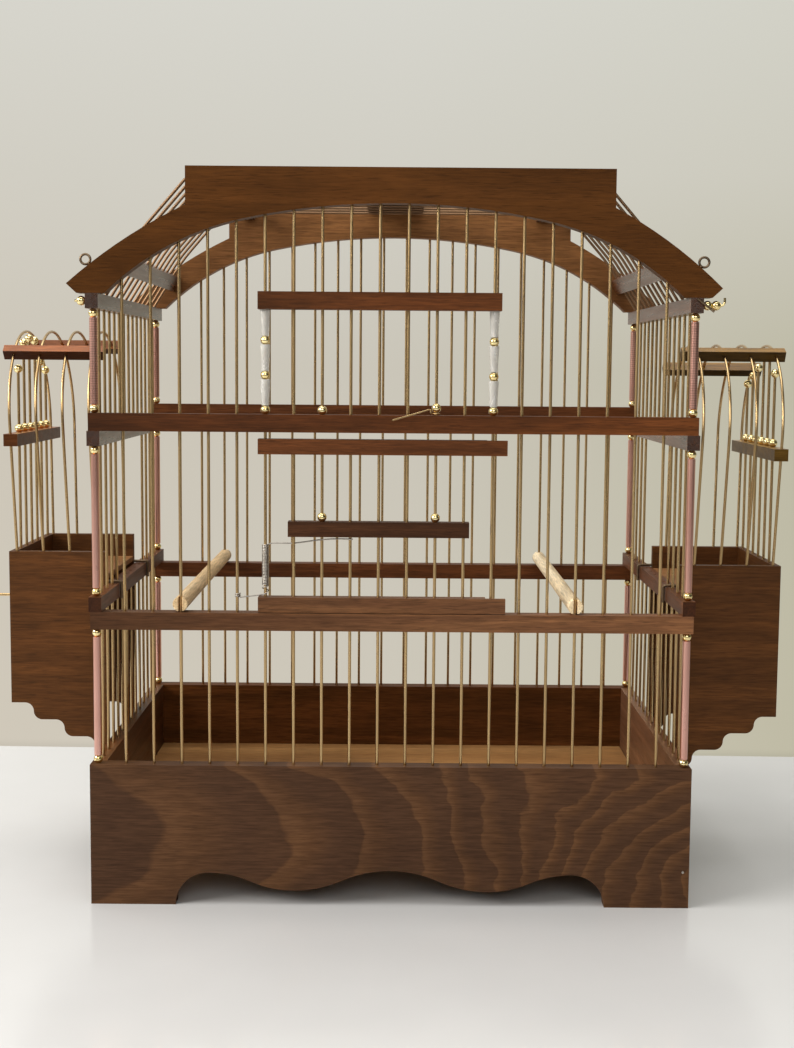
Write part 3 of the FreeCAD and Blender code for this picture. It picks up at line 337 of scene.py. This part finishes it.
wood = {
    "base_front": figured_veneer("walnut_veneer_front", srgb(90, 61, 39), srgb(79, 54, 37), srgb(99, 68, 44)),
    "base_x": stained_wood("walnut_board_back", "x", *BOARD_TONES, 4.0, BOARD_RINGS, (0.3, 1.1, 0.2),
                           gloss=0.06),
    "base_y": stained_wood("walnut_board_end", "y", *BOARD_TONES, 4.0, BOARD_RINGS, (0.9, 0.4, 0.6),
                           roughness=0.4, gloss=0.4),
    # The right end board is the same walnut as the other boards, painted paler to stand for the window light
    # on its inner face
    "base_right": stained_wood("walnut_board_right_painted_light", "y", srgb(138, 96, 68), srgb(112, 76, 52), 4.0,
                               BOARD_RINGS, (0.2, 0.6, 0.4), roughness=0.4, gloss=0.4),
    "arch_front": stained_wood("walnut_arch", "x", srgb(89, 53, 21), srgb(74, 43, 15), 4.0, ARCH_RINGS,
                               (0.15, 0.5, 0.35), roughness=0.46, gloss=0.06, streak=0.15, lining=0.16),
    "arch_back": stained_wood("walnut_arch_back", "x", srgb(142, 97, 57), srgb(114, 75, 42), 4.0, ARCH_RINGS,
                              (0.55, 0.1, 0.75), roughness=0.5, gloss=0.10),
    "feeder": stained_wood("walnut_feeder", "x", *FEEDER_TONES, 3.0, FEEDER_RINGS, (0.7, 0.1, 0.9),
                           streak=0.2),
    "feeder_floor": stained_wood("feeder_floor", "x", srgb(152, 108, 68), srgb(122, 84, 50), 4.0, PLY_RINGS,
                                 (0.4, 0.6, 0.2), pores=0.3, roughness=0.6),
    "feeder_end": stained_wood("walnut_feeder_end", "y", *FEEDER_TONES, 3.0, FEEDER_RINGS, (0.25, 0.9, 0.4),
                               streak=0.2),
    "stick_x": stained_wood("stick_across", "x", *STICK_TONES, 4.0, STICK_RINGS, (0.2, 0.7, 0.1), worn=True),
    "stick_y": stained_wood("stick_lengthwise", "y", *STICK_TONES, 4.0, STICK_RINGS, (0.6, 0.3, 0.8),
                            roughness=0.28, gloss=0.7, sawn_ends=True),
    "stick_y_dull": stained_wood("stick_lengthwise_dull", "y", *STICK_TONES, 4.0, STICK_RINGS,
                                 (0.1, 0.9, 0.3), gloss=0.15, sawn_ends=True),
    # Both hood woods get painted light on their tops and painted shade on their undersides
    "hood_bar": stained_wood("hood_stick", "x", *STICK_TONES, 4.0, STICK_RINGS, (0.4, 0.1, 0.5),
                             roughness=0.35, gloss=0.25, paint_tops_lit=True),
    # The right hood's sticks are the same wood as the left's, painted lighter and more golden to stand for
    # the light on their tops
    "hood_bar_right": stained_wood("hood_stick_painted_golden_light", "x", srgb(116, 86, 34), srgb(90, 65, 25), 4.0,
                                   STICK_RINGS, (0.7, 0.5, 0.2), roughness=0.32, gloss=0.5, paint_tops_lit=True),
    # These two stick woods are scaled darker towards the cage's left end and lighter towards its right
    "stick_deep": stained_wood("stick_deep", "x", srgb(91, 50, 22), srgb(72, 39, 15), 4.0, STICK_RINGS,
                               (0.35, 0.6, 0.25), worn=True, left_right_scale=(0.6, 1.7)),
    "stick_worn": stained_wood("stick_worn", "x", srgb(111, 75, 48), srgb(90, 59, 38), 4.0, STICK_RINGS,
                               (0.65, 0.1, 0.45), worn=True, left_right_scale=(0.62, 1.75)),
    "stick_dark": stained_wood("stick_dark", "x", srgb(78, 48, 29), srgb(58, 35, 21), 4.0, STICK_RINGS,
                               (0.8, 0.2, 0.5), gloss=0.10, worn=True),
    "floor": stained_wood("floor_ply", "x", srgb(178, 134, 84), srgb(154, 110, 66), 4.0, PLY_RINGS,
                          (0.5, 0.2, 0.1), pores=0.3, roughness=0.6),
    "left_perch": stained_wood("perch_dowel_left", "y", srgb(228, 202, 162), srgb(204, 174, 132), 3.0,
                               STICK_RINGS, (0.1, 0.8, 0.3), pores=0.25, roughness=0.6),
    # The right perch is the same dowel as the left, painted paler to stand for the light from the left
    # falling on it
    "right_perch": stained_wood("perch_dowel_painted_light", "y", srgb(250, 232, 198), srgb(230, 206, 166), 3.0,
                                STICK_RINGS, (0.5, 0.2, 0.7), pores=0.25, roughness=0.6),
}


# Metals and the clear tubes

RINGED_ABOVE = 0.333


def metal(name, colour, tarnish, roughness, spots, rings=0.0):
    material, tree, shader = new_material(name)
    patches = noise(tree, placed(tree), spots, detail=2.0)
    tone = blend_colours(tree, level(tree, patches, 0.42, 0.74, 0.0, 0.8), colour, tarnish)
    scuffs = noise(tree, placed(tree, stretch=(1, 1, 0.2)), 120.0, detail=1.0)
    feed(tree, shader.inputs["Roughness"],
         level(tree, scuffs, 0.3, 0.7, roughness - 0.01, roughness + 0.02))
    shader.inputs["Metallic"].default_value = 1.0
    if rings:
        height = parts_of(tree, "Object")["Z"]
        ridge = maths(tree, "PINGPONG", maths(tree, "MULTIPLY", height, 2.0 / rings), 1.0)
        wound = level(tree, height, RINGED_ABOVE, RINGED_ABOVE + 1 * MM, 0.0, 1.0)
        # Painted shade in the grooves between the coil's turns, added to the bump
        painted_groove_shade = maths(tree, "MULTIPLY", wound, level(tree, ridge, 0.15, 0.65, 0.4, 0.0))
        tone = blend_colours(tree, painted_groove_shade, tone, deeper(tarnish, 0.45))
        bump(tree, shader, maths(tree, "MULTIPLY", ridge, wound), 0.08, 0.10 * MM)
    else:
        bump(tree, shader, scuffs, 0.01, 0.02 * MM)
    feed(tree, shader.inputs["Base Color"], tone)
    return material


def clear_plastic(name):
    material, tree, shader = new_material(name)
    haze = noise(tree, placed(tree, stretch=(1, 1, 0.25)), 420.0, detail=3.0)
    cloudy = ramp(tree, haze, [(0.3, srgb(232, 229, 222)), (0.7, srgb(250, 249, 246))])
    feed(tree, shader.inputs["Base Color"], cloudy)
    feed(tree, shader.inputs["Roughness"], level(tree, haze, 0.3, 0.7, 0.12, 0.30))
    shader.inputs["Transmission Weight"].default_value = 0.5
    shader.inputs["IOR"].default_value = 1.46
    return material


finish = {
    "brass_wire": metal("drawn_brass", srgb(206, 176, 128), srgb(170, 140, 98), 0.27, spots=7.0),
    # The roof wires are the same brass, painted darker to stand for the shade and dim reflections along them,
    # and made rougher
    "roof_wire": metal("dull_brass_painted_shade", srgb(142, 112, 84), srgb(108, 84, 64), 0.45, spots=7.0),
    "brass_bead": metal("polished_brass", srgb(252, 234, 178), srgb(228, 200, 128), 0.12, spots=160.0),
    "copper_tube": metal("copper_sleeve", srgb(228, 176, 162), srgb(206, 152, 136), 0.28, spots=12.0,
                         rings=1.6 * MM),
    "dark_steel": metal("browned_steel", srgb(124, 106, 86), srgb(84, 68, 52), 0.42, spots=120.0),
    "spring_steel": metal("spring_steel", srgb(182, 176, 168), srgb(136, 128, 120), 0.32, spots=120.0),
    "clear_tube": clear_plastic("clear_spacer"),
}
WOOD_OF_NODE = {
    "base_front_board": "base_front", "base_back_board": "base_x", "base_left_board": "base_y",
    "base_right_board": "base_right", "front_arch_board": "arch_front", "back_arch_board": "arch_back",
    "left_lower_rail": "stick_y_dull", "right_lower_rail": "stick_y_dull", "left_mid_rail": "stick_y",
    "right_mid_rail": "stick_y", "left_top_rail": "stick_y", "right_top_rail": "stick_y",
    "slope_bars": "stick_y", "shoulder_rails": "stick_y", "centre_top_board": "stick_y",
    "front_mid_rail": "stick_deep", "stiffener_bar": "stick_deep", "front_lower_rail": "stick_worn",
    "door_bottom_bar": "stick_worn", "door_middle_bar": "stick_dark", "left_feeder_hood_bars": "hood_bar",
    "right_feeder_hood_bars": "hood_bar_right",
}
WOOD_OF_ENDING = {
    "floor_panel": "floor", "floor_battens": "floor", "feeder_floor": "feeder_floor",
    "left_perch": "left_perch", "right_perch": "right_perch",
    "end_panel": "feeder_end", "front_panel": "feeder", "back_panel": "feeder",
}


def wood_for(node):
    kinds = [kind for ending, kind in WOOD_OF_ENDING.items() if node.endswith(ending)]
    return wood[kinds[0] if kinds else WOOD_OF_NODE.get(node, "stick_x")]


def dress(piece, material):
    piece.data.materials.clear()
    piece.data.materials.append(material)


def only(piece):
    """Makes one object the whole selection."""
    bpy.ops.object.select_all(action="DESELECT")
    piece.select_set(True)
    bpy.context.view_layer.objects.active = piece


def apply_all(piece):
    only(piece)
    for modifier in list(piece.modifiers):
        bpy.ops.object.modifier_apply(modifier=modifier.name)


def eased(node, width):
    """A copy of a wooden piece with its sharp edges sanded round. It stands for the sharp one."""
    piece = nodes[node].copy()
    piece.data = nodes[node].data.copy()
    piece.name = f"{node}_eased"
    for key in list(piece.keys()):
        del piece[key]
    piece.parent = None
    piece.matrix_world = Matrix.Identity(4)
    bpy.context.scene.collection.objects.link(piece)
    weld = piece.modifiers.new("weld", "WELD")
    weld.merge_threshold = WELD_WITHIN
    flat = piece.modifiers.new("flat", "DECIMATE")
    flat.decimate_type = "DISSOLVE"
    flat.angle_limit = FLAT_WITHIN
    edge = piece.modifiers.new("edge", "BEVEL")
    edge.width = width
    edge.segments = 2
    edge.limit_method = "ANGLE"
    edge.angle_limit = SHARP_OVER
    edge.use_clamp_overlap = True
    apply_all(piece)
    bpy.ops.object.shade_smooth_by_angle(angle=SHARP_OVER)
    flush = piece.modifiers.new("flush", "WEIGHTED_NORMAL")
    flush.keep_sharp = True
    apply_all(piece)
    dress(piece, wood_for(node))
    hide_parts(node)
    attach(piece, body_of_node[node])


# The closing spring: a close-wound coil on the hinge wire with its tail, and an arm that goes with the door

HINGE = (-83.7 * MM, -130.2 * MM)
TAIL_WIRE = (-101.9 * MM, -130.2 * MM)
SPRING_WIRE = 0.9 * MM
COIL_RADIUS = 1.9 * MM
COIL_LOW, COIL_PITCH, COIL_TURNS = 215.6 * MM, 1.0 * MM, 27
OPEN_PITCH, OPEN_TURNS = 3.6 * MM, 1
WRAP_RADIUS, WRAP_LOW, WRAP_PITCH, WRAP_TURNS = 1.55 * MM, 207.5 * MM, 1.3 * MM, 2
WIRE_SIDES = 8


def wound_wire(axis, radius, low, pitch, turns, start_turn=0.0):
    """A ring of wire swept round an upright axis, rising by one pitch in each turn."""
    bpy.ops.object.select_all(action="DESELECT")
    bpy.ops.mesh.primitive_circle_add(vertices=WIRE_SIDES, radius=SPRING_WIRE / 2, fill_type="NGON",
                                      location=(0, 0, 0), rotation=(math.pi / 2, 0, 0))
    coil = bpy.context.object
    bpy.ops.object.transform_apply(location=False, rotation=True, scale=False)
    bpy.ops.object.mode_set(mode="EDIT")
    bpy.ops.mesh.select_all(action="SELECT")
    bpy.ops.transform.translate(value=(radius, 0, 0))
    bpy.ops.object.mode_set(mode="OBJECT")
    sweep = coil.modifiers.new("sweep", "SCREW")
    sweep.axis = "Z"
    sweep.screw_offset = pitch
    sweep.iterations = turns
    sweep.steps = sweep.render_steps = 16
    apply_all(coil)
    coil.location = (*axis, low)
    coil.rotation_euler = (0, 0, start_turn)
    bpy.ops.object.transform_apply(location=True, rotation=True, scale=False)
    return coil


def drawn_wire(points):
    """A length of wire that runs through the points, mainly along X."""
    bpy.ops.object.select_all(action="DESELECT")
    bpy.ops.mesh.primitive_circle_add(vertices=WIRE_SIDES, radius=SPRING_WIRE / 2, fill_type="NGON",
                                      location=points[0], rotation=(0, math.pi / 2, 0))
    run = bpy.context.object
    bpy.ops.object.transform_apply(location=True, rotation=True, scale=False)
    bpy.ops.object.mode_set(mode="EDIT")
    bpy.ops.mesh.select_all(action="SELECT")
    for before, after in zip(points, points[1:]):
        step = tuple(b - a for a, b in zip(before, after))
        bpy.ops.mesh.extrude_region_move(TRANSFORM_OT_translate={"value": step})
    bpy.ops.mesh.select_all(action="SELECT")
    bpy.ops.mesh.normals_make_consistent(inside=False)
    bpy.ops.object.mode_set(mode="OBJECT")
    return run


def in_mm(*points):
    return [tuple(value * MM for value in point) for point in points]


def joined(name, pieces):
    bpy.ops.object.select_all(action="DESELECT")
    for piece in pieces:
        piece.select_set(True)
    bpy.context.view_layer.objects.active = pieces[0]
    if len(pieces) > 1:
        bpy.ops.object.join()
    whole = pieces[0]
    bpy.ops.object.mode_set(mode="EDIT")
    bpy.ops.mesh.select_all(action="SELECT")
    bpy.ops.mesh.normals_make_consistent(inside=False)
    bpy.ops.object.mode_set(mode="OBJECT")
    whole.name = name
    bpy.ops.object.shade_smooth_by_angle(angle=SHARP_OVER)
    return whole


def hand_in(piece, body, slot, *stands_for):
    dress(piece, finish[slot])
    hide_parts(*stands_for)
    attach(piece, body)


TAIL_POINTS = in_mm(
    (-81.8, -130.2, 212.0), (-82.6, -132.0, 211.0), (-84.1, -132.3, 209.9), (-90.0, -132.2, 209.0),
    (-95.1, -132.0, 208.3), (-100.3, -131.7, 207.7))
ARM_POINTS = in_mm(
    (-81.8, -130.2, 242.6), (-80.0, -129.6, 243.4), (-75.0, -129.0, 243.6), (-65.6, -128.3, 243.3),
    (-58.0, -129.4, 244.4), (-52.0, -131.2, 245.5), (-47.3, -131.9, 246.2), (-40.0, -132.0, 246.7),
    (-34.6, -132.0, 246.9), (-26.0, -131.9, 246.6))

coil = joined("spring_coil", [
    wound_wire(HINGE, COIL_RADIUS, COIL_LOW, COIL_PITCH, COIL_TURNS),
    wound_wire(HINGE, COIL_RADIUS, COIL_LOW - OPEN_PITCH * OPEN_TURNS, OPEN_PITCH, OPEN_TURNS),
    drawn_wire(TAIL_POINTS),
    wound_wire(TAIL_WIRE, WRAP_RADIUS, WRAP_LOW, WRAP_PITCH, WRAP_TURNS),
])
hand_in(coil, "cage", "spring_steel", "closing_spring")
arm = joined("spring_arm", [drawn_wire(ARM_POINTS)])
hand_in(arm, "door", "spring_steel", "closing_spring")


# The clear sleeves between the beads: each is wider at its top, with a bore for the wire

SLEEVE_WIRES = ((-83.7 * MM, -130.2 * MM), (65.1 * MM, -130.2 * MM))
SLEEVE_SPANS = ((333.8 * MM, 350.8 * MM), (356.4 * MM, 373.4 * MM), (379.0 * MM, 396.0 * MM))
SLEEVE_FOOT, SLEEVE_HEAD, SLEEVE_WALL = 2.45 * MM, 3.30 * MM, 1.25 * MM
SLEEVE_SIDES, SLEEVE_RIM = 28, 0.35 * MM


def clear_sleeve(place, low, high):
    bpy.ops.object.select_all(action="DESELECT")
    bpy.ops.mesh.primitive_cone_add(vertices=SLEEVE_SIDES, radius1=SLEEVE_FOOT, radius2=SLEEVE_HEAD,
                                    depth=high - low, location=(*place, (low + high) / 2))
    sleeve = bpy.context.object
    bpy.ops.object.transform_apply(location=True, rotation=True, scale=False)
    bpy.ops.object.mode_set(mode="EDIT")
    bpy.ops.mesh.select_mode(type="FACE")
    bpy.ops.mesh.select_all(action="DESELECT")
    bpy.ops.mesh.select_face_by_sides(number=SLEEVE_SIDES, type="EQUAL", extend=False)
    bpy.ops.mesh.inset(thickness=SLEEVE_WALL, use_individual=True)
    bpy.ops.mesh.bridge_edge_loops()
    bpy.ops.object.mode_set(mode="OBJECT")
    rim = sleeve.modifiers.new("rim", "BEVEL")
    rim.width = SLEEVE_RIM
    rim.segments = 3
    rim.limit_method = "ANGLE"
    rim.angle_limit = SHARP_OVER
    apply_all(sleeve)
    return sleeve


sleeves = joined("clear_sleeves",
                 [clear_sleeve(place, *span) for place in SLEEVE_WIRES for span in SLEEVE_SPANS])
hand_in(sleeves, "cage", "clear_tube", "spacer_tubes")


# A pin head in the front board, near its right foot

PIN_AT = (195.8 * MM, 24.6 * MM)
PIN_RADIUS, PIN_PROUD = 0.9 * MM, 0.35 * MM


def pin_head():
    face_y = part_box("base_front_board")[0][1]
    bpy.ops.object.select_all(action="DESELECT")
    bpy.ops.mesh.primitive_cylinder_add(vertices=20, radius=PIN_RADIUS, depth=PIN_PROUD * 2,
                                        location=(PIN_AT[0], face_y, PIN_AT[1]), rotation=(math.pi / 2, 0, 0))
    pin = bpy.context.object
    pin.name = "pin_head"
    bpy.ops.object.transform_apply(location=True, rotation=True, scale=False)
    bpy.ops.object.mode_set(mode="EDIT")
    bpy.ops.mesh.select_all(action="SELECT")
    bpy.ops.mesh.bevel(offset=PIN_PROUD * 0.6, segments=3, affect="EDGES")
    bpy.ops.object.mode_set(mode="OBJECT")
    bpy.ops.object.shade_smooth_by_angle(angle=SHARP_OVER)
    hand_in(pin, "cage", "spring_steel")


pin_head()

for node, piece in nodes.items():
    slot = slot_of_node[node]
    if slot in finish:
        # The roof wires take the darker brass with painted shade
        dress(piece, finish["roof_wire" if node == "roof_wires" else slot])
    else:
        eased(node, EASED_EDGE)


# Stage: a glossy white table, a pale wall tone behind it, soft lamps and the camera

TABLE_END, TABLE_EDGE_SLANT = 0.2819, 0.0245
CAMERA_SIDE_TONE, RIGHT_SIDE_TONE = 0.25, 0.15
WALL_LOW, WALL_HORIZON, WALL_TOP = srgb(205, 199, 185), srgb(202, 197, 184), srgb(215, 214, 206)
SIDE_TINT = [(0.0, (1.03, 1.01, 1.0)), (0.5, (1.0, 1.0, 1.0)), (1.0, (0.86, 0.87, 0.78))]
HALF_VIEW = 0.26
CAMERA_AT = Vector((2.1, -1137.4, 359.0)) * MM
CAMERA_YAW, CAMERA_PITCH, CAMERA_ROLL = math.radians(-0.041), math.radians(90 - 5.794), math.radians(0.457)
WARM_LIGHT, CEILING_LIGHT = (1.0, 0.97, 0.92), (1.0, 0.98, 0.95)
LAMPS = (
    ("ceiling", (-0.2, 0.0, 2.1), (0, 0, 0.2), (1.8, 1.8), 26.0, CEILING_LIGHT),
    ("window", (-2.0, -0.85, 1.35), (0, 0, 0.25), (1.6, 1.0), 54.0, WARM_LIGHT),
    ("room_fill", (0.1, -2.2, 1.3), (0, 0, 0.25), (1.6, 1.0), 15.0, WARM_LIGHT),
)


def side_tinted(tree, colour, slant):
    """A wall colour, a little warmer and darker towards the right."""
    tint = ramp(tree, level(tree, slant, -HALF_VIEW, HALF_VIEW, 0.0, 1.0), SIDE_TINT)
    return multiplied(tree, colour, tint)


def table_and_wall():
    bpy.ops.mesh.primitive_plane_add(size=60.0, location=(0, 0, 0))
    table = bpy.context.object
    table.name = "table"
    material, tree, shader = new_material("white_table")
    smears = noise(tree, placed(tree), 6.0, detail=3.0)
    white = ramp(tree, smears, [(0.3, srgb(207, 207, 208)), (0.7, srgb(212, 212, 213))])
    feed(tree, shader.inputs["Base Color"], white)
    feed(tree, shader.inputs["Roughness"], level(tree, smears, 0.3, 0.7, 0.13, 0.20))
    where = parts_of(tree, "Object")
    edge = maths(tree, "MULTIPLY_ADD", where["X"], TABLE_EDGE_SLANT, where["Y"])
    beyond = level(tree, edge, TABLE_END - 0.001, TABLE_END + 0.001, 0.0, 1.0)
    rays = tree.nodes.new("ShaderNodeLightPath")
    seen = maths(tree, "MAXIMUM", rays.outputs["Is Camera Ray"],
                 maths(tree, "MAXIMUM", rays.outputs["Is Glossy Ray"], rays.outputs["Is Transmission Ray"]))
    ahead = maths(tree, "SUBTRACT", where["Y"], CAMERA_AT.y)
    past_edge = maths(tree, "SUBTRACT", edge, CAMERA_AT.y)
    far = level(tree, maths(tree, "DIVIDE", TABLE_END - CAMERA_AT.y, past_edge), 0.0, 1.0, 1.0, 0.0)
    wall = tree.nodes.new("ShaderNodeEmission")
    # A thin strip of wall just above the table's far edge is a tenth darker: a painted contact shadow
    tone = ramp(tree, far, [(0.0, deeper(WALL_LOW, 0.90)), (0.02, WALL_LOW), (1.0, WALL_HORIZON)])
    feed(tree, wall.inputs["Color"], side_tinted(tree, tone, maths(tree, "DIVIDE", where["X"], ahead)))
    mix = tree.nodes.new("ShaderNodeMixShader")
    feed(tree, mix.inputs[0], maths(tree, "MULTIPLY", beyond, seen))
    tree.links.new(shader.outputs[0], mix.inputs[1])
    tree.links.new(wall.outputs[0], mix.inputs[2])
    tree.links.new(mix.outputs[0], tree.nodes["Material Output"].inputs["Surface"])
    dress(table, material)


def pale_room():
    world = bpy.data.worlds.new("pale_room")
    bpy.context.scene.world = world
    world.use_nodes = True
    tree = world.node_tree
    background = tree.nodes["Background"]
    where = parts_of(tree, "Generated")
    tone = ramp(tree, level(tree, where["Z"], 0.0, 0.24, 0.0, 1.0), [(0.0, WALL_HORIZON), (1.0, WALL_TOP)])
    share = level(tree, where["Z"], 0.0, 0.12, 1.0, 0.3)
    tinted = blend_colours(tree, share, tone, side_tinted(tree, tone, where["X"]))
    feed(tree, background.inputs["Color"], tinted)
    near_side = level(tree, where["Y"], -0.6, 0.3, CAMERA_SIDE_TONE, 1.0)
    right_side = level(tree, where["X"], 0.35, 0.9, 1.0, RIGHT_SIDE_TONE)
    feed(tree, background.inputs["Strength"], maths(tree, "MULTIPLY", near_side, right_side))


def lamp(name, place, target, size, power, colour):
    light = bpy.data.lights.new(name, "AREA")
    light.energy = power
    light.shape = "RECTANGLE"
    light.size, light.size_y = size
    light.color = colour
    holder = bpy.data.objects.new(name, light)
    holder.location = place
    holder.rotation_euler = (Vector(target) - Vector(place)).to_track_quat("-Z", "Y").to_euler()
    bpy.context.scene.collection.objects.link(holder)


table_and_wall()
pale_room()
for name, place, target, size, power, colour in LAMPS:
    lamp(name, place, target, size, power, colour)

camera_data = bpy.data.cameras.new("photo_camera")
camera_data.sensor_fit = "HORIZONTAL"
camera_data.sensor_width = SENSOR_WIDTH
camera_data.lens = PHOTO_FOCAL_PX / PHOTO_WIDTH * SENSOR_WIDTH
camera = bpy.data.objects.new("photo_camera", camera_data)
turn = (Matrix.Rotation(CAMERA_YAW, 4, "Z") @ Matrix.Rotation(CAMERA_PITCH, 4, "X")
        @ Matrix.Rotation(CAMERA_ROLL, 4, "Z"))
camera.matrix_world = Matrix.Translation(CAMERA_AT) @ turn
bpy.context.scene.collection.objects.link(camera)
bpy.context.scene.camera = camera
bpy.context.scene.view_settings.view_transform = "Standard"
